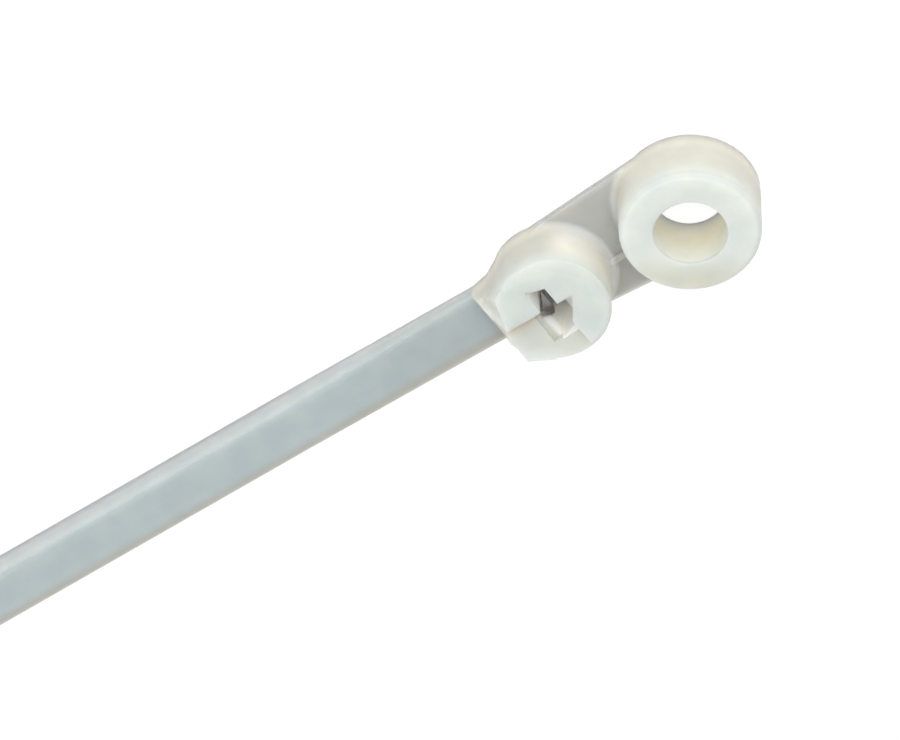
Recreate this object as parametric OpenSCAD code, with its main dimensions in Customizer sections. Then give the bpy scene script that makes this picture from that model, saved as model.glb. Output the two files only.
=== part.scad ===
// Screw-mount cable tie: a strap, a round locking head and a screw ring moulded
// as one nylon piece, with a steel barb set in the head.
//
// Frame: the origin is on the screw hole's axis, on the flat back that lies
// against the panel. +Z runs along the screw axis towards the screw's head, and
// the strap runs off along -X.

/* [Mounting ring] */
// Outside diameter of the ring
ring_d = 10.6; // [8.5:0.1:14]
// Height of the ring above the panel
ring_h = 5.2; // [3:0.1:8]
// Diameter of the screw hole
screw_d = 5.5; // [3:0.1:6.5]
// Radius that rounds the rim of the ring
ring_rim = 0.5; // [0.2:0.05:0.8]
// Radius that rounds the mouth of the screw hole
hole_rim = 0.15; // [0.05:0.05:0.5]

/* [Locking head] */
// Diameter of the round part of the head
head_d = 8.8; // [8.2:0.1:12]
// Height of the head above the panel
head_h = 5.2; // [4.4:0.1:8]
// Distance from the screw axis to the middle of the head
head_pitch = 12.4; // [11.5:0.1:20]
// Distance from the middle of the head to its flat end, on the strap side
end_reach = 4.05; // [3.6:0.05:5]
// Width of the flat end
end_w = 5.3; // [5.1:0.1:6.5]
// Radius that rounds the rim of the head
head_rim = 0.45; // [0.2:0.05:0.7]
// How far the flat end slopes out to its foot on the strap
ramp_l = 1.6; // [0.4:0.1:3]
// How far the crown's centre is set back from the ring's side of the head
crown_set = 1.0; // [0:0.1:1.5]
// Radius of the crown's flat middle
crown_flat = 4.6; // [4:0.1:6]
// Radius of the crown's fall to the rim
crown_fall = 1.6; // [1.2:0.1:4]

/* [Strap slot] */
// Width of the slot, across the strap
slot_w = 5.1; // [4.8:0.1:6]
// Opening of the slot, through which the strap's thickness passes
slot_t = 1.5; // [1.3:0.05:1.8]
// How far the slot's lead-in opens out at the back
lead_in = 0.45; // [0.1:0.05:0.6]

/* [Head relief] */
// Distance of the relief's step from the centre line
step_y = 0.45; // [0.2:0.05:1]
// Depth of the relief at its step, beside the slot
step_deep = 0.7; // [0.3:0.05:1]
// Slope of the relief's floor down towards the slot
floor_dip = 7.7; // [2:0.1:9]
// Slope of the relief's floor up towards the rim
floor_rise = 6.6; // [3:0.1:9]
// Radius that rounds the slot's mouth in the relief
mouth_r = 0.8; // [0.2:0.05:0.9]
// Distance from the head's axis to the bevel on its other shoulder
bevel_reach = 3.75; // [3.4:0.05:4.2]
// Slope of that bevel
bevel_slope = 66; // [45:1:70]
// Angle by which that bevel turns to follow the rim
bevel_turn = 17; // [0:1:30]
// Length of the pocket on the ring side of the slot
pocket_l = 1.35; // [0.5:0.05:2]
// Width of that pocket along the slot
pocket_w = 2.0; // [1:0.1:2.4]
// Depth of that pocket
pocket_deep = 1.8; // [0.5:0.1:2.5]

/* [Locking barb] */
// Width of the barb
barb_w = 1.8; // [1.4:0.1:2.6]
// Thickness of the barb
barb_t = 0.3; // [0.2:0.05:0.45]
// Length of the barb that stands free in the slot
barb_free = 2.8; // [2:0.1:3]
// Length of the barb that is moulded into the head
barb_in = 1.4; // [0.8:0.1:1.6]
// Angle at which the barb leans into the slot
barb_lean = 5; // [3:1:12]
// Angle at which the barb's tip is sheared
tip_angle = 48; // [20:1:50]
// Room behind the barb for it to spring back
spring_gap = 0.2; // [0.1:0.05:0.6]

/* [Web] */
// Thickness of the flat web between head and ring
web_t = 0.6; // [0.4:0.05:2]
// How far the web's edges stand in from the sides of head and ring
web_set = 0.15; // [0.1:0.05:0.8]
// Radius of the fillets where head and ring rise from the web
web_fillet = 0.7; // [0.2:0.05:1]
// Width of the low rib along the web
web_rib_w = 0.45; // [0.3:0.05:0.8]
// Height of that rib above the web
web_rib_h = 0.3; // [0.1:0.05:0.6]

/* [Strap] */
// Length of the whole tie
overall_l = 186; // [100:1:300]
// Width of the strap at its back
strap_w = 4.9; // [4.2:0.1:5]
// Width of the strap's front face, between its bevels
face_w = 4.0; // [3:0.1:4.1]
// Thickness of the strap
strap_t = 1.5; // [1.1:0.05:1.6]
// Width of the strap where it joins the head
root_w = 4.6; // [4:0.1:5]
// Thickness of the strap where it joins the head
root_t = 1.25; // [0.9:0.05:1.6]
// Length over which the root grows into the full section
root_l = 19; // [5:1:40]

/* [Tail] */
// Length of the tapered tip
tip_l = 14; // [6:1:30]
// Width of the tip at its end
tip_w = 2.2; // [1.4:0.1:3]
// Thickness of the tip at its end
tip_t = 0.8; // [0.5:0.05:1]
// Number of grip ribs before the tip
rib_n = 9; // [3:1:15]
// Spacing of the grip ribs
rib_pitch = 1.8; // [1:0.1:3]
// Width of one grip rib
rib_w = 0.5; // [0.3:0.05:0.9]
// Height of a grip rib above the strap's face
rib_h = 0.2; // [0.1:0.05:0.4]

/* [Hidden] */
// Arcs that are rebuilt as true curves
$fn = 96;
// Steps in the rim's quarter round
rim_steps = 8;
// Thickness of a section that hull() joins to another
skin = 0.01;
// How far a cut runs past the surface it opens
past = 1;
ring_r = ring_d / 2;
head_r = head_d / 2;
head_x = -head_pitch;
end_x = head_x - end_reach;
tail_x = ring_r - overall_l;
main_x = end_x - root_l;
// Distance of the head's straight sides from its axis, just inside the round part
side_d = head_r - 0.07;
side_a = acos(side_d / norm([end_reach, end_w / 2])) + atan2(end_w / 2, end_reach);
// The strap's root is buried this far into the head
root_bury = end_reach - slot_t;
// Slope of the web's edges, which run beside the round sides of head and ring
web_tilt = asin((ring_r - head_r) / head_pitch);
barb_z = head_h - barb_free * cos(barb_lean) - 0.1;
barb_y = step_y - barb_w / 2;

// Quarter round at the outer corner of a turned profile, centred at c
function quarter(c, r, a0) = [for (k = [0 : rim_steps])
    c + r * [cos(a0 - 90 * k / rim_steps), sin(a0 - 90 * k / rim_steps)]];

// ---- Mounting ring -------------------------------------------------------

// Half section of the ring, rounded at the rim and at the mouth of the hole
module ring_section() {
    bore_r = screw_d / 2;
    polygon(concat(
        [[bore_r, 0]],
        quarter([bore_r + hole_rim, ring_h - hole_rim], hole_rim, 180),
        quarter([ring_r - ring_rim, ring_h - ring_rim], ring_rim, 90),
        [[ring_r, 0]]));
}

module mounting_ring() {
    rotate_extrude() ring_section();
}

// ---- Locking head --------------------------------------------------------

// Half section of the head's round boss, with its rim rounded
module head_section() {
    polygon(concat(
        [[0, 0], [0, head_h]],
        quarter([head_r - head_rim, head_h - head_rim], head_rim, 90),
        [[head_r, 0]]));
}

// Solid head: a round boss with a flat end that slopes down onto the strap
module head_blank() {
    side = side_d * [-cos(side_a), sin(side_a)];
    intersection() {
        union() {
            rotate_extrude() head_section();
            linear_extrude(head_h) polygon([
                [-end_reach, -end_w / 2], [side[0], -side[1]],
                [0, 0], side, [-end_reach, end_w / 2]]);
        }
        crown();
    }
    end_ramp();
}

// The head's front is crowned: flat in the middle, falling towards the ring's side
module crown() {
    steps = 10;
    reach = 1.5 * crown_fall;
    translate([-crown_set, -crown_set, 0]) rotate_extrude() polygon(concat(
        [[0, -past], [0, head_h]],
        [for (k = [0 : steps]) let (a = 60 * k / steps)
            [crown_flat + crown_fall * sin(a), head_h - crown_fall * (1 - cos(a))]],
        [[crown_flat + reach, head_h - crown_fall], [crown_flat + reach, -past]]));
}

// Ramp from the strap's face up the flat end, as wide as the strap at its foot
module end_ramp() {
    foot = -end_reach - ramp_l;
    intersection() {
        linear_extrude(head_h) polygon([
            [foot, -root_w / 2], [-end_reach, -end_w / 2], [-slot_t, -end_w / 2],
            [-slot_t, end_w / 2], [-end_reach, end_w / 2], [foot, root_w / 2]]);
        rotate([90, 0, 0]) linear_extrude(end_w, center = true) polygon([
            [foot, 0], [foot, root_t], [-end_reach, head_h - 0.1],
            [-slot_t, head_h - 0.1], [-slot_t, 0]]);
    }
}

// The slot that the strap passes: it follows the strap's section, with its
// bevels to the ring's side, and has a lead-in at the back
module strap_slot() {
    face = face_w + slot_w - strap_w;
    translate([0, 0, -past]) linear_extrude(head_h + 2 * past) polygon([
        [-slot_t / 2, -slot_w / 2], [slot_t / 2, -face / 2],
        [slot_t / 2, face / 2], [-slot_t / 2, slot_w / 2]]);
    wide = slot_t / 2 + lead_in / 2;
    rotate([90, 0, 0]) linear_extrude(face, center = true) polygon([
        [-wide, 0], [-wide, -past], [wide, -past], [wide, 0],
        [slot_t / 2, 2 * lead_in], [-slot_t / 2, 2 * lead_in]]);
}

// Relief beside the slot: a floor that dips to the slot and rises to the rim
module relief() {
    far = 2 * head_d;
    intersection() {
        translate([-end_reach - past, step_y - far, head_h / 2])
            cube([end_reach + past + slot_t / 2, far, head_h]);
        translate([-slot_t / 2, step_y, head_h - step_deep])
            rotate([-floor_rise, floor_dip, 0]) translate([-far, -far, 0])
                cube([2 * far, 2 * far, head_h]);
    }
    mouth_round();
}

// Rounds the slot's edge in the relief, where the strap's tail leaves it
module mouth_round() {
    top = head_h - step_deep;
    edge = 2 * skin - slot_t / 2;
    steps = 5;
    translate([0, step_y, 0]) rotate([90, 0, 0])
        linear_extrude(step_y + slot_w / 2 - 2 * skin) polygon(concat(
            [[edge, top - mouth_r], [edge, top + past], [-slot_t / 2 - mouth_r, top + past]],
            [for (k = [0 : steps]) let (a = 90 * k / steps)
                [-slot_t / 2 - mouth_r * (1 - sin(a)), top - mouth_r * (1 - cos(a))]]));
}

// Bevel down the flat end's other shoulder, turned so that it dies out at the relief
module shoulder_bevel() {
    far = 2 * head_d;
    low = head_h / 2;
    out = bevel_reach + low / tan(bevel_slope);
    rotate([0, 0, -bevel_turn]) translate([0, far, 0]) rotate([90, 0, 0])
        linear_extrude(2 * far) polygon([
            [-bevel_reach, head_h], [-bevel_reach, head_h + past],
            [-far, head_h + past], [-far, head_h - low], [-out, head_h - low]]);
}

// Three-cornered pocket on the far side of the slot, facing the barb
module tail_pocket() {
    translate([slot_t / 2, step_y, head_h - pocket_deep]) linear_extrude(pocket_deep + past)
        polygon([[-slot_t / 4, 0], [pocket_l, 0], [0, -pocket_w], [-slot_t / 4, -pocket_w]]);
}

// Outline of the barb's blank from a level z0 to its sheared tip
module barb_outline(z0, top) {
    drop = barb_w * tan(tip_angle);
    polygon([[-barb_w / 2, z0], [barb_w / 2, z0], [barb_w / 2, top], [-barb_w / 2, top - drop]]);
}

// The barb in the head's frame, leaning out of the slot's wall
module barb_blank() {
    translate([-slot_t / 2, barb_y, barb_z]) rotate([0, barb_lean, 0])
        translate([-barb_t, 0, 0]) rotate([90, 0, 90])
            linear_extrude(barb_t) barb_outline(-barb_in, barb_free);
}

// Groove in the slot's wall that lets the barb spring back
module spring_groove() {
    depth = barb_t + spring_gap;
    translate([-slot_t / 2 - depth, barb_y, barb_z]) rotate([90, 0, 90])
        linear_extrude(depth + slot_t / 4) barb_outline(0, barb_free + spring_gap);
}

// ---- Web and strap -------------------------------------------------------

// Outline of the web, its edges beside the round sides of head and ring
module web_outline() {
    n = [-sin(web_tilt), cos(web_tilt)];
    m = [n[0], -n[1]];
    ring_e = ring_r - web_set;
    head_e = head_r - web_set;
    polygon([ring_e * n, head_e * n + [head_x, 0], head_e * m + [head_x, 0], ring_e * m]);
}

// Turned fillet at the foot of a round boss of radius r
module foot_fillet(r) {
    steps = 5;
    rotate_extrude() polygon(concat(
        [[r - web_fillet, skin], [r + web_fillet, skin]],
        [for (k = [0 : steps]) let (a = 90 * k / steps)
            [r + web_fillet * (1 - sin(a)), web_t + web_fillet * (1 - cos(a))]],
        [[r - web_fillet, web_t + web_fillet]]));
}

// Flat web that joins the head to the ring, with a fillet at each and a low rib
module web() {
    difference() {
        union() {
            linear_extrude(web_t) web_outline();
            intersection() {
                linear_extrude(web_t + 2 * web_fillet) web_outline();
                union() {
                    foot_fillet(ring_r);
                    translate([head_x, 0, 0]) foot_fillet(head_r);
                }
            }
            translate([head_x + head_r / 2, -3.5 * web_rib_w, skin])
                cube([head_pitch - head_r, web_rib_w, web_t + web_rib_h]);
        }
        translate([0, 0, -past]) cylinder(r = screw_d / 2 + 1, h = ring_h);
    }
}

// Cross-section of the full strap: flat back, bevelled edges
module strap_section() {
    polygon([[-strap_w / 2, 0], [strap_w / 2, 0], [face_w / 2, strap_t], [-face_w / 2, strap_t]]);
}

// Strap of full section from its tail end to the root
module strap_main() {
    translate([tail_x, 0, 0]) rotate([90, 0, 90])
        linear_extrude(main_x - tail_x) strap_section();
}

// Root: a plain rectangle at the head that grows into the full section
module strap_root() {
    hull() {
        translate([main_x - skin, 0, 0]) rotate([90, 0, 90]) linear_extrude(skin) strap_section();
        translate([end_x, -root_w / 2, 0]) cube([skin, root_w, root_t]);
    }
    translate([end_x, -root_w / 2, 0]) cube([root_bury, root_w, root_t]);
}

// Grip ribs across the strap's face, ahead of the tapered tip
module grip_ribs() {
    for (k = [0 : rib_n - 1])
        translate([tail_x + tip_l + k * rib_pitch, -face_w / 2, strap_t / 2])
            cube([rib_w, face_w, strap_t / 2 + rib_h]);
}

// Everything outside the tapered tip, to be cut away
module tip_waste() {
    round_r = tip_w / 2;
    difference() {
        translate([tail_x - past, -strap_w, -past])
            cube([tip_l + past, 2 * strap_w, strap_t + 2 * past]);
        translate([0, 0, -2 * past]) linear_extrude(strap_t + 4 * past) {
            translate([tail_x + round_r, 0]) circle(round_r);
            polygon([[tail_x + round_r, -round_r], [tail_x + tip_l + past, -strap_w / 2],
                     [tail_x + tip_l + past, strap_w / 2], [tail_x + round_r, round_r]]);
        }
    }
    // The face slopes down to the tip's own thickness
    translate([0, strap_w, 0]) rotate([90, 0, 0]) linear_extrude(2 * strap_w)
        polygon([[tail_x - past, tip_t], [tail_x, tip_t], [tail_x + tip_l, strap_t],
                 [tail_x + tip_l, strap_t + past], [tail_x - past, strap_t + past]]);
}

module strap() {
    difference() {
        union() {
            strap_main();
            grip_ribs();
        }
        tip_waste();
    }
    strap_root();
}

// ---- Nodes ---------------------------------------------------------------

// The nylon moulding: strap, head, web and ring in one piece
module tie_body() {
    color([0.86, 0.88, 0.85]) {
        mounting_ring();
        difference() {
            union() {
                translate([head_x, 0, 0]) head_blank();
                web();
                strap();
            }
            translate([head_x, 0, 0]) head_cuts();
        }
    }
}

// All that is cut out of the head
module head_cuts() {
    strap_slot();
    relief();
    shoulder_bevel();
    tail_pocket();
    spring_groove();
    barb_blank();
}

// The steel barb moulded into the head
module locking_barb() {
    color([0.42, 0.41, 0.39]) translate([head_x, 0, 0]) barb_blank();
}

tie_body();
locking_barb();
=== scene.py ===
# %% [markdown]
# # A screw-mount cable tie
#
# The real object is one nylon moulding: a long strap, a round locking head that
# the strap is pulled through, and a ring that takes a screw. A small steel barb
# sits in the head and bites into the strap. The shapes come from the CAD frame,
# already in place and in metres. This lesson gives them their finish, their
# light and a camera.

# %% Load the frame
from types import SimpleNamespace

import bpy
from mathutils import Matrix, Vector


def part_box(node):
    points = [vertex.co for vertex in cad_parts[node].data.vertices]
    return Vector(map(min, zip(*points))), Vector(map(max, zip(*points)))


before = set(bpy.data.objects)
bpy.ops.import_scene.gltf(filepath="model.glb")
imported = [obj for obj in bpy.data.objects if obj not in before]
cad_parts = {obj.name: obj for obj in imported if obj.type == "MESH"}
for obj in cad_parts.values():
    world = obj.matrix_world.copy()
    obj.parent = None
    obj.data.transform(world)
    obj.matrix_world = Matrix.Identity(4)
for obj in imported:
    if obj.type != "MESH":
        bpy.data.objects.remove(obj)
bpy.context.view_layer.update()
MM = 0.001

# %% [markdown]
# ## The camera
#
# The tie is seen from above its ring end, so that the strap runs away to the
# lower left. A short lens would spread the strap towards the viewer. A long
# lens from a metre away keeps its edges nearly parallel, as on a drawing, so
# that is used here. The camera is placed by three directions: its own right,
# its own up, and the way back from the object to the lens.

# %% Camera
RIGHT = Vector((0.8181, -0.5751, 0.0041)).normalized()
UP = Vector((0.4673, 0.6604, -0.5878)).normalized()
BACK = RIGHT.cross(UP)
AIM = Vector((-20.60, 1.53, 7.63)) * MM
FAR = 1.0
SHOWN_WIDTH = 66.67 * MM
SENSOR_MM = 36.0

lens = bpy.data.cameras.new("product_camera")
lens.sensor_width = SENSOR_MM
lens.lens = SENSOR_MM * FAR / SHOWN_WIDTH
lens.clip_start, lens.clip_end = 0.01, 20.0
camera = bpy.data.objects.new("product_camera", lens)
bpy.context.scene.collection.objects.link(camera)

stand = AIM + FAR * BACK
columns = [(*axis, 0) for axis in (RIGHT, UP, BACK)] + [(*stand, 1)]
camera.matrix_world = Matrix(columns).transposed()
bpy.context.scene.camera = camera
print("lens in mm:", round(lens.lens, 1))

# %% [markdown]
# ## Small helpers for nodes
#
# A finish is a tree of nodes. Written out in full, each node takes three or
# four lines, and the idea is lost among them. So the few nodes that this lesson
# uses again and again get a function each. Every function returns the socket
# that carries its answer, ready for the next one.

# %% Start a material and feed its sockets
def start_material(name):
    """A new material with nothing in it but its output."""
    material = bpy.data.materials.new(name)
    material.use_nodes = True
    tree = material.node_tree
    tree.nodes.clear()
    return material, tree, tree.nodes.new("ShaderNodeOutputMaterial")


def feed(tree, socket, value):
    """Link a socket, or set a plain number or colour."""
    if isinstance(value, bpy.types.NodeSocket):
        tree.links.new(value, socket)
    else:
        socket.default_value = value


# %% [markdown]
# ## Sums, fades and blends
#
# A mask is a number from 0 to 1 that says how much of a tone a point gets. It
# comes from a fade along a measure, such as the height. Masks multiplied
# together hold only where all of them hold, and the largest of several holds
# where any of them does. A blend then lays one tone over another by its mask.

# %% Sums
def work_out(tree, kind, a, b=0.0):
    """The answer of one Math node, such as ADD or SUBTRACT."""
    node = tree.nodes.new("ShaderNodeMath")
    node.operation = kind
    feed(tree, node.inputs[0], a)
    feed(tree, node.inputs[1], b)
    return node.outputs[0]


def times(tree, mask, *others):
    """1 only where every mask is 1."""
    for other in others:
        mask = work_out(tree, "MULTIPLY", mask, other)
    return mask


def largest(tree, mask, *others):
    """1 where any of the masks is 1."""
    for other in others:
        mask = work_out(tree, "MAXIMUM", mask, other)
    return mask


# %% Fades and blends
# A Mix node keeps sockets for numbers, vectors and colours side by side. These
# are its mask and its two colours, and the colour that it gives back.
MASK_IN, UNDER_IN, OVER_IN, COLOUR_OUT = 0, 6, 7, 2


def fade(tree, value, start, end):
    """0 before start, 1 after end, and a smooth step between them."""
    node = tree.nodes.new("ShaderNodeMapRange")
    node.interpolation_type = "SMOOTHSTEP"
    node.inputs["From Min"].default_value = start
    node.inputs["From Max"].default_value = end
    feed(tree, node.inputs["Value"], value)
    return node.outputs["Result"]


def blend_tone(tree, mask, under, over, kind="MIX"):
    """The under tone where the mask is 0, the over tone where it is 1."""
    node = tree.nodes.new("ShaderNodeMix")
    node.data_type = "RGBA"
    node.blend_type = kind
    feed(tree, node.inputs[MASK_IN], mask)
    feed(tree, node.inputs[UNDER_IN], under)
    feed(tree, node.inputs[OVER_IN], over)
    return node.outputs[COLOUR_OUT]


# %% [markdown]
# ## The surface of moulded and rolled parts
#
# No mould and no steel strip is quite smooth. Nylon shrinks as it cools, which
# leaves soft clouds in its tone and very shallow waves in its face, and the
# mould's own fine texture lies on top. Rolled steel has the same two scales,
# drawn out along the strip. One effect for two materials is a node group: it is
# built once, and each material sets its own sizes. Its input is a position, and
# it gives back a height for bump, a cloud mask for tone, and a value for
# roughness.

# %% Grain group
NOISE_DETAIL = 3.0
GRAIN_HEIGHT = 0.2
CLOUD_EDGES = (0.3, 0.7)
GRAIN_MIDDLE = 0.5
ROUGHNESS_SWING = 0.3


def add_ports(group):
    """The named sockets on the two sides of the group."""
    ports = group.interface
    ports.new_socket("Position", in_out="INPUT", socket_type="NodeSocketVector")
    for name, value in (
        ("Cloud Size", 1.0),
        ("Grain Size", 10.0),
        ("Roughness Base", 0.4),
    ):
        port = ports.new_socket(name, in_out="INPUT", socket_type="NodeSocketFloat")
        port.default_value = value
    for name in ("Height", "Cloud", "Roughness"):
        ports.new_socket(name, in_out="OUTPUT", socket_type="NodeSocketFloat")


def make_grain_group():
    group = bpy.data.node_groups.new("factory_grain", "ShaderNodeTree")
    add_ports(group)
    given = group.nodes.new("NodeGroupInput").outputs
    result = group.nodes.new("NodeGroupOutput").inputs

    noises = []
    for size in ("Cloud Size", "Grain Size"):
        noise = group.nodes.new("ShaderNodeTexNoise")
        noise.inputs["Detail"].default_value = NOISE_DETAIL
        feed(group, noise.inputs["Vector"], given["Position"])
        feed(group, noise.inputs["Scale"], given[size])
        noises.append(noise.outputs["Fac"])
    cloud, grain = noises

    shallow = work_out(group, "MULTIPLY", grain, GRAIN_HEIGHT)
    feed(group, result["Height"], work_out(group, "ADD", cloud, shallow))
    feed(group, result["Cloud"], fade(group, cloud, *CLOUD_EDGES))
    swing = work_out(group, "SUBTRACT", grain, GRAIN_MIDDLE)
    swing = work_out(group, "MULTIPLY", swing, ROUGHNESS_SWING)
    rough = work_out(group, "ADD", given["Roughness Base"], swing)
    feed(group, result["Roughness"], rough)
    return group


factory_grain = make_grain_group()
print("grain group sockets:", [s.name for s in factory_grain.interface.items_tree])


# %% Place the grain and its bump in a material
def add_grain(tree, position, cloud_size, grain_size, roughness):
    node = tree.nodes.new("ShaderNodeGroup")
    node.node_tree = factory_grain
    feed(tree, node.inputs["Position"], position)
    node.inputs["Cloud Size"].default_value = cloud_size
    node.inputs["Grain Size"].default_value = grain_size
    node.inputs["Roughness Base"].default_value = roughness
    return node.outputs


def add_bump(tree, height, distance, strength):
    bump = tree.nodes.new("ShaderNodeBump")
    bump.inputs["Distance"].default_value = distance
    bump.inputs["Strength"].default_value = strength
    feed(tree, bump.inputs["Height"], height)
    return bump.outputs["Normal"]


# %% [markdown]
# ## Natural nylon
#
# Undyed nylon is milky: light goes in, scatters and comes out again nearby. A plain
# white surface would look like chalk, so the shader scatters light under the surface.
# The painted tone then follows how much nylon the light has crossed, and how much light
# reaches the place, so light and shade are painted into it.
#
# All of this could be painted by hand. Reading the position is simpler, because
# the real cause is the shape itself, and the shape is known from the frame. The
# screw hole's axis is the origin, the flat back lies at height 0, and the strap
# runs towards -X. The measures below repeat those of the part's source.

# %% Measures that the tones follow
tie_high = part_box("tie_body")[1]
FACE_Z = tie_high.z
RING_R = tie_high.x
BORE_R = 2.75 * MM
HEAD_R = 4.4 * MM
HEAD_X = -12.4 * MM
END_X = HEAD_X - 4.05 * MM
FOOT_X = END_X - 1.6 * MM
ROOT_L = 19 * MM
STEP_Y = 0.45 * MM
STRAP_Z = 1.5 * MM
ROOT_Z = 1.25 * MM
print("front face at mm:", round(FACE_Z / MM, 2), "ring radius:", round(RING_R / MM, 2))


# %% Find where a point lies
def axis_distance(tree, past_axis, y):
    """Distance in plan from an upright axis on the centre line."""
    square_x = work_out(tree, "MULTIPLY", past_axis, past_axis)
    square_y = work_out(tree, "MULTIPLY", y, y)
    return work_out(tree, "SQRT", work_out(tree, "ADD", square_x, square_y))


def find_spot(tree, position):
    """All the measures of a point that the tones ask for."""
    axes = tree.nodes.new("ShaderNodeSeparateXYZ")
    feed(tree, axes.inputs["Vector"], position)
    x, y, z = axes.outputs
    past_head = work_out(tree, "SUBTRACT", x, HEAD_X)
    return SimpleNamespace(
        x=x,
        y=y,
        z=z,
        side=work_out(tree, "ABSOLUTE", y),
        past_head=past_head,
        from_head=axis_distance(tree, past_head, y),
        from_ring=axis_distance(tree, x, y),
    )


# %% [markdown]
# ## The strap
#
# The thin strap lets the light through, and looks cooler and greyer than the head. It
# is a shade darker at its root, where it is thinnest. Its bevels get painted light,
# paler than the face and most of all at their foot, and the rim of its face towards -Y
# gets a browner painted shade. Each pair of numbers says where a tone starts to come
# in, and where it is full. A bevel is found by how far it drops below the strap's top,
# which itself drops towards the head.

# %% Tones of the strap
STRAP_TONE = (0.483, 0.546, 0.554, 1)
ROOT_TONE = (0.446, 0.502, 0.506, 1)
# Painted shade: the rim of the strap's face towards -Y is browner.
RIM_PAINTED_SHADE = (0.410, 0.410, 0.385, 1)
# Painted light: the bevels are paler than the face, a little less at the root, and
# palest at their foot.
BEVEL_PAINTED_LIGHT = (0.580, 0.622, 0.605, 1)
ROOT_BEVEL_PAINTED_LIGHT = (0.500, 0.545, 0.520, 1)
FOOT_PAINTED_LIGHT = (0.760, 0.750, 0.690, 1)
TOWARDS_ROOT = (END_X - 17 * MM, END_X - 6 * MM)
TOWARDS_RIM = (-1.0 * MM, -1.95 * MM)
TOWARDS_FOOT = (0.9 * MM, 0.1 * MM)
BEVEL_DROP = (0.01 * MM, 0.14 * MM)
BEVEL_SIDE = (1.9 * MM, 2.0 * MM)


def strap_top(tree, spot):
    """Height of the strap's top above the flat back."""
    top = tree.nodes.new("ShaderNodeMapRange")
    top.inputs["From Min"].default_value = END_X
    top.inputs["From Max"].default_value = END_X - ROOT_L
    top.inputs["To Min"].default_value = ROOT_Z
    top.inputs["To Max"].default_value = STRAP_Z
    feed(tree, top.inputs["Value"], spot.x)
    return top.outputs["Result"]


def strap_tone(tree, spot):
    at_root = fade(tree, spot.x, *TOWARDS_ROOT)
    face = blend_tone(tree, at_root, STRAP_TONE, ROOT_TONE)
    # painted shade along the face's -Y rim
    face = blend_tone(tree, fade(tree, spot.y, *TOWARDS_RIM), face, RIM_PAINTED_SHADE)

    # painted light on the bevels, palest at their foot
    bevel = blend_tone(tree, at_root, BEVEL_PAINTED_LIGHT, ROOT_BEVEL_PAINTED_LIGHT)
    at_foot = fade(tree, spot.z, *TOWARDS_FOOT)
    bevel = blend_tone(tree, at_foot, bevel, FOOT_PAINTED_LIGHT)

    drop = work_out(tree, "SUBTRACT", strap_top(tree, spot), spot.z)
    dropped = fade(tree, drop, *BEVEL_DROP)
    on_bevel = times(tree, dropped, fade(tree, spot.side, *BEVEL_SIDE))
    return blend_tone(tree, on_bevel, face, bevel)


# %% [markdown]
# ## The web
#
# The web between head and ring is the thinnest part of all, and it lies in the shade of
# both, so its grey tone is painted shade. That painted shade grows darker towards -Y,
# and the web's upright edge is creamy at the foot. That edge isn't parallel to the
# centre line, because the ring is wider than the head: the flare follows it.

# %% Tones of the web
# Painted shade: the web is grey, and darker towards -Y.
WEB_PAINTED_SHADE = (0.548, 0.545, 0.502, 1)
WEB_LOW_PAINTED_SHADE = (0.462, 0.452, 0.415, 1)
WEB_EDGE_TONE = (0.840, 0.785, 0.670, 1)
WEB_BEGINS = (HEAD_X - 3 * MM, HEAD_X - 2 * MM)
WEB_DARKENS = (0.5 * MM, -3.0 * MM)
WEB_FLARE = 0.073
WEB_EDGE_Y = (3.9 * MM, 4.2 * MM)
WEB_EDGE_Z = (0.45 * MM, 0.05 * MM)


def web_tone(tree, spot):
    # painted shade, darker towards -Y
    darker = fade(tree, spot.y, *WEB_DARKENS)
    web = blend_tone(tree, darker, WEB_PAINTED_SHADE, WEB_LOW_PAINTED_SHADE)
    flare = work_out(tree, "MULTIPLY", spot.past_head, WEB_FLARE)
    across = work_out(tree, "SUBTRACT", spot.y, flare)
    outer, low = fade(tree, across, *WEB_EDGE_Y), fade(tree, spot.z, *WEB_EDGE_Z)
    return blend_tone(tree, times(tree, outer, low), web, WEB_EDGE_TONE)


def thin_tone(tree, spot):
    on_web = fade(tree, spot.x, *WEB_BEGINS)
    return blend_tone(tree, on_web, strap_tone(tree, spot), web_tone(tree, spot))


# %% [markdown]
# ## The walls of head and ring
#
# The thick head and ring are creamy white, and warmer and darker down their walls:
# partly the nylon's own warmth, partly painted shade. Where two walls face each other,
# and at the foot of each wall, the nylon is painted paler, as painted bounce light that
# lifts the shade there.

# %% Tones of the walls
# Walls are warmer and darker than the faces: partly the nylon's own warmth, partly
# painted shade.
WALL_TONE = (0.710, 0.695, 0.612, 1)
HEAD_WALL_TONE = (0.615, 0.607, 0.540, 1)
# Painted light: the foot of each wall, and walls that face each other, are painted
# paler.
BASE_PAINTED_LIGHT = (0.895, 0.830, 0.665, 1)
PAINTED_BOUNCE_LIGHT = (0.880, 0.850, 0.770, 1)
TOWARDS_BASE = (1.8 * MM, 0.2 * MM)
HEAD_FACES_RING = (HEAD_X + 1.5 * MM, HEAD_X + 3.6 * MM)
CLEAR_OF_RING = (RING_R, RING_R + 1 * MM)
RING_FACES_HEAD = (-3.6 * MM, -5.0 * MM)


def wall_tone(tree, spot, by_ring):
    wall = blend_tone(tree, by_ring, HEAD_WALL_TONE, WALL_TONE)
    # painted light at the foot of the wall
    at_base = fade(tree, spot.z, *TOWARDS_BASE)
    wall = blend_tone(tree, at_base, wall, BASE_PAINTED_LIGHT)

    # painted bounce light where head and ring face each other
    clear = fade(tree, spot.from_ring, *CLEAR_OF_RING)
    head_bounce = times(tree, fade(tree, spot.x, *HEAD_FACES_RING), clear)
    wall = blend_tone(tree, head_bounce, wall, PAINTED_BOUNCE_LIGHT)
    ring_bounce = times(tree, fade(tree, spot.x, *RING_FACES_HEAD), by_ring)
    return blend_tone(tree, ring_bounce, wall, PAINTED_BOUNCE_LIGHT)
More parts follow.
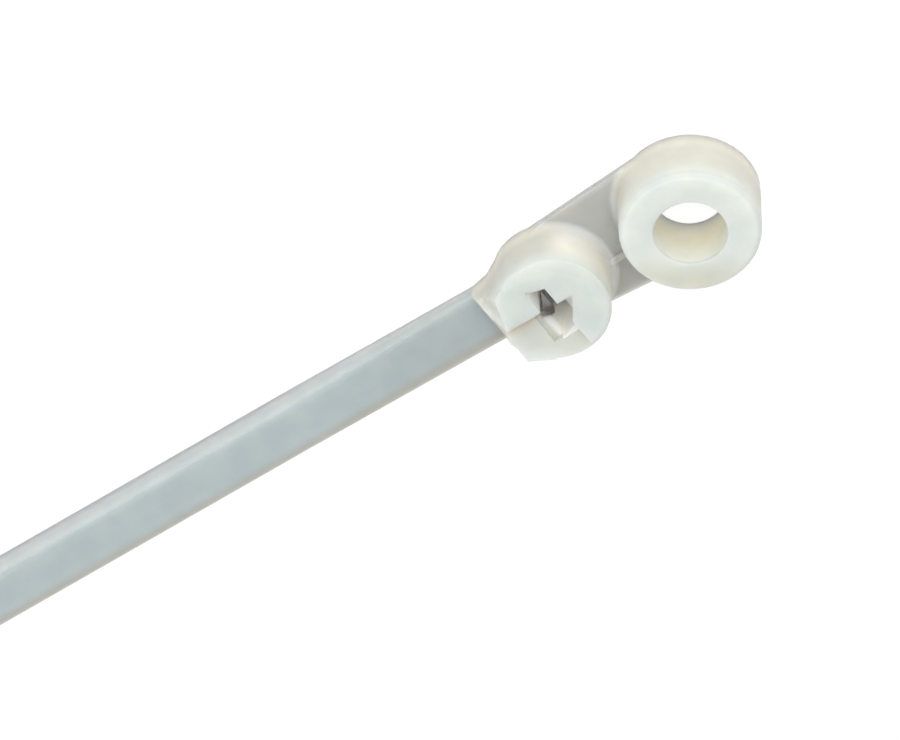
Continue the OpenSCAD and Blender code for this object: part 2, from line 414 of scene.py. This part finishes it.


# %% [markdown]
# ## The faces of head and ring
#
# The ring's face is a little paler than the head's, and is painted darker and warmer
# towards -X and -Y, as painted shade. A slightly darker band of painted shade lies at
# the rounded edge of each face, and tones down its highlight. The head's end wall above
# the strap is painted pale on one side, as painted light where the lamps would catch
# it. At the end, one mask says where the nylon is thick at all: by the ring, by the
# head, at the head's blended end, and wherever it stands higher than the strap.

# %% Tones of the faces
RING_TONE = (0.730, 0.770, 0.730, 1)
# Painted shade: the ring's face darkens and warms towards -X and -Y.
RING_LOW_PAINTED_SHADE = (0.630, 0.640, 0.570, 1)
HEAD_TONE = (0.670, 0.725, 0.685, 1)
# Painted shade at the rounded edge of each face, which tones down its highlight.
EDGE_TONE = (0.660, 0.695, 0.655, 1)
# Painted light on one side of the head's end wall above the strap.
END_PAINTED_LIGHT = (0.800, 0.840, 0.770, 1)
HEAD_TO_RING = (HEAD_X + 4.5 * MM, -RING_R)
DOWN_WALL = (FACE_Z, FACE_Z - 2.4 * MM)
LOW_SIDE_WAY = (0.57, 0.82)
LOW_SIDE = (-1.5 * MM, -4.5 * MM)
EDGE_UPPER = (FACE_Z, FACE_Z - 0.12 * MM)
EDGE_LOWER = (FACE_Z - 0.8 * MM, FACE_Z - 0.4 * MM)
END_FACE_X = (HEAD_X - 3.4 * MM, HEAD_X - 3.8 * MM)
END_FACE_OUTER = (2.6 * MM, 1.0 * MM)
END_FACE_INNER = (0.3 * MM, 0.5 * MM)
END_FACE_Z = (0.8 * MM, 1.6 * MM)


def face_tone(tree, spot, by_ring):
    way_x, way_y = LOW_SIDE_WAY
    along_x = work_out(tree, "MULTIPLY", spot.x, way_x)
    along_y = work_out(tree, "MULTIPLY", spot.y, way_y)
    along = work_out(tree, "ADD", along_x, along_y)
    # painted shade towards -X and -Y on the ring's face
    ring = blend_tone(tree, fade(tree, along, *LOW_SIDE), RING_TONE, RING_LOW_PAINTED_SHADE)
    return blend_tone(tree, by_ring, HEAD_TONE, ring)


def thick_tone(tree, spot):
    by_ring = fade(tree, spot.x, *HEAD_TO_RING)
    face, wall = face_tone(tree, spot, by_ring), wall_tone(tree, spot, by_ring)
    thick = blend_tone(tree, fade(tree, spot.z, *DOWN_WALL), face, wall)

    # painted shade in a band at the faces' rounded edge
    upper, lower = fade(tree, spot.z, *EDGE_UPPER), fade(tree, spot.z, *EDGE_LOWER)
    thick = blend_tone(tree, times(tree, upper, lower), thick, EDGE_TONE)

    # painted light on one side of the head's end wall
    end_face = times(
        tree,
        fade(tree, spot.x, *END_FACE_X),
        fade(tree, spot.y, *END_FACE_OUTER),
        fade(tree, spot.y, *END_FACE_INNER),
        fade(tree, spot.z, *END_FACE_Z),
    )
    return blend_tone(tree, end_face, thick, END_PAINTED_LIGHT)


# %% Where the nylon is thick
NEAR_RING = (RING_R + 0.8 * MM, RING_R + 0.3 * MM)
NEAR_HEAD = (HEAD_R + 0.8 * MM, HEAD_R + 0.3 * MM)
END_BEGINS = (FOOT_X - 0.15 * MM, FOOT_X + 0.15 * MM)
END_STOPS = (HEAD_X + 1 * MM, HEAD_X)
ABOVE_STRAP = (STRAP_Z, STRAP_Z + 0.5 * MM)


def where_thick(tree, spot):
    begun, stopped = fade(tree, spot.x, *END_BEGINS), fade(tree, spot.x, *END_STOPS)
    return largest(
        tree,
        fade(tree, spot.from_ring, *NEAR_RING),
        fade(tree, spot.from_head, *NEAR_HEAD),
        times(tree, begun, stopped),
        fade(tree, spot.z, *ABOVE_STRAP),
    )


# %% [markdown]
# ## The screw hole
#
# Near the mouth of the hole the wall gets pale painted light. Further down, the painted
# light turns to light brown, as light that has crossed the whole ring.

# %% Tones of the screw hole
# Painted light on the bore's wall: pale at the mouth, light brown further down.
BORE_PAINTED_LIGHT = (0.880, 0.885, 0.810, 1)
DEEP_BORE_PAINTED_LIGHT = (0.920, 0.880, 0.760, 1)
INSIDE_BORE = (BORE_R + 0.12 * MM, BORE_R + 0.04 * MM)
BELOW_MOUTH = (FACE_Z - 0.1 * MM, FACE_Z - 0.4 * MM)
DOWN_BORE = (FACE_Z - 1.0 * MM, FACE_Z - 3.0 * MM)


def add_bore_painted_light(tree, spot, tone):
    # painted light down the bore
    bore = blend_tone(tree, fade(tree, spot.z, *DOWN_BORE), BORE_PAINTED_LIGHT, DEEP_BORE_PAINTED_LIGHT)
    inside = fade(tree, spot.from_ring, *INSIDE_BORE)
    below = fade(tree, spot.z, *BELOW_MOUTH)
    return blend_tone(tree, times(tree, inside, below), tone, bore)


# %% [markdown]
# ## The relief and the slot
#
# Beside the slot, the head's face steps down to a relief, so that the strap can bend
# away. Its floor is painted a little darker than the face, as painted shade, and
# browner at the foot of the step, as a painted shadow. Inside the slot and its rounded
# mouth the walls are painted pale, as painted light where shade would fall.

# %% Tones of the relief
# Painted shade on the relief's floor, and a browner painted shadow at the foot of the
# step.
SUNK_PAINTED_SHADE = (0.645, 0.665, 0.610, 1)
STEP_PAINTED_SHADOW = (0.620, 0.565, 0.470, 1)
BELOW_FACE = (FACE_Z - 0.05 * MM, FACE_Z - 0.25 * MM)
ABOVE_RELIEF = (FACE_Z - 1.6 * MM, FACE_Z - 1.3 * MM)
PAST_STEP = (STEP_Y + 0.1 * MM, STEP_Y)
RELIEF_X = (HEAD_X + 3 * MM, HEAD_X + 1 * MM)
RELIEF_RADIUS = (HEAD_R + 1 * MM, HEAD_R)
STEP_SHADE = (STEP_Y - 1.4 * MM, STEP_Y)
STEP_RADIUS = (HEAD_R, HEAD_R - 1.2 * MM)


def add_relief_painted_shade(tree, spot, tone):
    below = fade(tree, spot.z, *BELOW_FACE)
    on_floor = times(tree, below, fade(tree, spot.z, *ABOVE_RELIEF))
    past_step = fade(tree, spot.y, *PAST_STEP)
    sunk = times(
        tree,
        on_floor,
        past_step,
        fade(tree, spot.x, *RELIEF_X),
        fade(tree, spot.from_head, *RELIEF_RADIUS),
    )
    # painted shade on the floor, then the step's painted shadow
    tone = blend_tone(tree, sunk, tone, SUNK_PAINTED_SHADE)
    at_step = times(
        tree,
        on_floor,
        past_step,
        fade(tree, spot.y, *STEP_SHADE),
        fade(tree, spot.from_head, *STEP_RADIUS),
    )
    return blend_tone(tree, at_step, tone, STEP_PAINTED_SHADOW)


# %% Tones of the slot
# Painted light: the walls inside the slot and its mouth are painted pale where shade
# would fall.
SLOT_PAINTED_LIGHT = (0.960, 0.940, 0.880, 1)
SLOT_NEAR = (-0.85 * MM, -0.78 * MM)
SLOT_FAR = (2.3 * MM, 2.15 * MM)
SLOT_SIDE = (2.7 * MM, 2.6 * MM)
MOUTH_NEAR = (-1.7 * MM, -1.6 * MM)
MOUTH_FAR = (0.0, -0.1 * MM)
MOUTH_Z = (FACE_Z - 0.75 * MM, FACE_Z - 0.95 * MM)
MOUTH_SIDE = (2.62 * MM, 2.56 * MM)


def add_slot_painted_light(tree, spot, tone):
    in_slot = times(
        tree,
        fade(tree, spot.z, *BELOW_FACE),
        fade(tree, spot.past_head, *SLOT_NEAR),
        fade(tree, spot.past_head, *SLOT_FAR),
        fade(tree, spot.side, *SLOT_SIDE),
    )
    in_mouth = times(
        tree,
        fade(tree, spot.z, *MOUTH_Z),
        fade(tree, spot.past_head, *MOUTH_NEAR),
        fade(tree, spot.past_head, *MOUTH_FAR),
        fade(tree, spot.side, *MOUTH_SIDE),
    )
    # painted light inside the slot and its mouth
    return blend_tone(tree, largest(tree, in_slot, in_mouth), tone, SLOT_PAINTED_LIGHT)


# %% [markdown]
# ## The nylon, put together
#
# The thin and the thick tones come first, and the painted light and shade of the
# hollows are laid over them.
# Soft clouds then vary the whole by a few per cent. The scatter reaches about
# three millimetres, a little less for blue, which is why thick nylon is warm.

# %% Nylon material
CLOUD_DIM = (0.93, 0.945, 0.955, 1)
CLOUD_CLEAR = (1, 1, 1, 1)
NYLON_CLOUD, NYLON_GRAIN, NYLON_ROUGHNESS = 520.0, 4200.0, 0.46
NYLON_WAVE, NYLON_WAVE_STRENGTH = 0.08 * MM, 0.5


def nylon_tone(tree, spot, cloud):
    thin, thick = thin_tone(tree, spot), thick_tone(tree, spot)
    tone = blend_tone(tree, where_thick(tree, spot), thin, thick)
    tone = add_bore_painted_light(tree, spot, tone)
    tone = add_relief_painted_shade(tree, spot, tone)
    tone = add_slot_painted_light(tree, spot, tone)
    clouds = blend_tone(tree, cloud, CLOUD_DIM, CLOUD_CLEAR)
    return blend_tone(tree, 1.0, tone, clouds, "MULTIPLY")


def make_nylon():
    material, tree, out = start_material("natural_nylon")
    position = tree.nodes.new("ShaderNodeTexCoord").outputs["Object"]
    spot = find_spot(tree, position)
    grain = add_grain(tree, position, NYLON_CLOUD, NYLON_GRAIN, NYLON_ROUGHNESS)
    waves = add_bump(tree, grain["Height"], NYLON_WAVE, NYLON_WAVE_STRENGTH)

    shader = tree.nodes.new("ShaderNodeBsdfPrincipled")
    feed(tree, shader.inputs["Base Color"], nylon_tone(tree, spot, grain["Cloud"]))
    feed(tree, shader.inputs["Roughness"], grain["Roughness"])
    feed(tree, shader.inputs["Normal"], waves)
    shader.inputs["IOR"].default_value = 1.5
    shader.inputs["Specular IOR Level"].default_value = 0.22
    shader.inputs["Subsurface Weight"].default_value = 0.85
    shader.inputs["Subsurface Radius"].default_value = (1.0, 0.9, 0.7)
    shader.inputs["Subsurface Scale"].default_value = 3.2 * MM
    feed(tree, out.inputs["Surface"], shader.outputs["BSDF"])
    return material


# %% [markdown]
# ## Dull steel
#
# The barb is a scrap of thin stainless strip, rolled, sheared at its tip and
# pushed into the mould. It is small and deep in the slot, so it reads as a dark
# grey tongue with a soft gleam. The same grain group serves, with its position
# squeezed along one axis so that the grain runs along the strip.

# %% Steel material
STEEL_DARK = (0.140, 0.132, 0.122, 1)
STEEL_LIGHT = (0.220, 0.208, 0.192, 1)
STEEL_CLOUD, STEEL_GRAIN, STEEL_ROUGHNESS = 900.0, 9000.0, 0.36
STEEL_WAVE, STEEL_WAVE_STRENGTH = 0.01 * MM, 0.4
ALONG_STRIP = (1.0, 1.0, 0.15)


def make_steel():
    material, tree, out = start_material("barb_steel")
    squeeze = tree.nodes.new("ShaderNodeMapping")
    squeeze.inputs["Scale"].default_value = ALONG_STRIP
    position = tree.nodes.new("ShaderNodeTexCoord").outputs["Object"]
    feed(tree, squeeze.inputs["Vector"], position)
    drawn_out = squeeze.outputs["Vector"]
    grain = add_grain(tree, drawn_out, STEEL_CLOUD, STEEL_GRAIN, STEEL_ROUGHNESS)
    waves = add_bump(tree, grain["Height"], STEEL_WAVE, STEEL_WAVE_STRENGTH)

    shader = tree.nodes.new("ShaderNodeBsdfPrincipled")
    tone = blend_tone(tree, grain["Cloud"], STEEL_DARK, STEEL_LIGHT)
    feed(tree, shader.inputs["Base Color"], tone)
    feed(tree, shader.inputs["Roughness"], grain["Roughness"])
    feed(tree, shader.inputs["Normal"], waves)
    shader.inputs["Metallic"].default_value = 1.0
    feed(tree, out.inputs["Surface"], shader.outputs["BSDF"])
    return material


# %% [markdown]
# ## Dress the two CAD nodes
#
# The shapes of both pieces are right as they come, down to the bevels and the
# sheared tip. So neither is rebuilt here, and each only gets its material in
# its object's first slot.

# %% Dress
def dress(node, material):
    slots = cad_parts[node].data.materials
    slots.clear()
    slots.append(material)
    faces = len(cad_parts[node].data.polygons)
    print(node, "wears", material.name, "on", faces, "faces")


dress("tie_body", make_nylon())
dress("locking_barb", make_steel())

# %% [markdown]
# ## Floor
#
# The tie lies on a plain white floor. A floor lit only by the lamps comes out
# grey unless the lamps are turned up, and then the tie is burnt out. So the
# floor's own colour is helped by a glow that only the camera and reflections
# see, while the rest of it is a plain matt surface that keeps the tie's shadow.
# It lies a hair below the flat back, because two surfaces in one place flicker.

# %% Floor
FLOOR_SIDE = 8.0
FLOOR_DROP = 0.05 * MM
FLOOR_MATT = (0.94, 0.94, 0.94, 1)
FLOOR_GLOW = 1.08
GLOW_SHARE = 0.8

bpy.ops.object.select_all(action="DESELECT")
bpy.ops.mesh.primitive_plane_add(size=FLOOR_SIDE, location=(0, 0, -FLOOR_DROP))
floor = bpy.context.active_object
floor.name = "studio_floor"


def make_floor_white():
    material, tree, out = start_material("studio_white")
    matt = tree.nodes.new("ShaderNodeBsdfDiffuse")
    matt.inputs["Color"].default_value = FLOOR_MATT
    glow = tree.nodes.new("ShaderNodeEmission")
    glow.inputs["Strength"].default_value = FLOOR_GLOW
    rays = tree.nodes.new("ShaderNodeLightPath").outputs
    kinds = ("Is Camera Ray", "Is Glossy Ray", "Is Transmission Ray")
    seen = largest(tree, *(rays[kind] for kind in kinds))
    mixer = tree.nodes.new("ShaderNodeMixShader")
    feed(tree, mixer.inputs["Fac"], times(tree, seen, GLOW_SHARE))
    feed(tree, mixer.inputs[1], matt.outputs["BSDF"])
    feed(tree, mixer.inputs[2], glow.outputs["Emission"])
    feed(tree, out.inputs["Surface"], mixer.outputs["Shader"])
    return material


floor.data.materials.append(make_floor_white())
print("floor lies at mm:", round(floor.location.z / MM, 2))

# %% [markdown]
# ## Light
#
# A hard lamp would burn out one side of a small white part and sink its slot
# into black, so soft light comes from all round. The world gives the even part
# of it. Three wide lamps shape it. The front lamp stands near the lens and
# fills the slot and the hole. The far side lamp brightens the walls of the head
# and ring, and the strap side lamp lifts the strap's bevel. Together they stay
# at a level at which a tone renders about as it is written.

# %% World and lamps
SKY_STRENGTH = 0.5
LAMP_FAR = 0.9
LAMP_SIZE = 0.8

world = bpy.data.worlds.new("studio_air")
bpy.context.scene.world = world
world.use_nodes = True
sky = world.node_tree.nodes["Background"]
sky.inputs["Color"].default_value = (1, 1, 1, 1)
sky.inputs["Strength"].default_value = SKY_STRENGTH


def soft_lamp(name, toward, power):
    """A round soft lamp that stands in the given direction and faces the tie."""
    lamp = bpy.data.lights.new(name, "AREA")
    lamp.shape = "DISK"
    lamp.size = LAMP_SIZE
    lamp.energy = power
    holder = bpy.data.objects.new(name, lamp)
    bpy.context.scene.collection.objects.link(holder)
    direction = Vector(toward).normalized()
    holder.location = direction * LAMP_FAR
    holder.rotation_mode = "QUATERNION"
    holder.rotation_quaternion = direction.to_track_quat("Z", "Y")
    print(name, "stands at", [round(v, 2) for v in holder.location])


soft_lamp("front_lamp", BACK, 4.4)
soft_lamp("far_side_lamp", (0.8, 0.6, 0.25), 2.0)
soft_lamp("strap_side_lamp", (-0.9, -0.3, 0.5), 2.4)

# %% [markdown]
# ## Finish
#
# The object must not have grown: nothing was added outside the CAD shapes. The colours
# are shown through the plain Standard view transform.

# %% Finish
bpy.context.scene.view_settings.view_transform = "Standard"
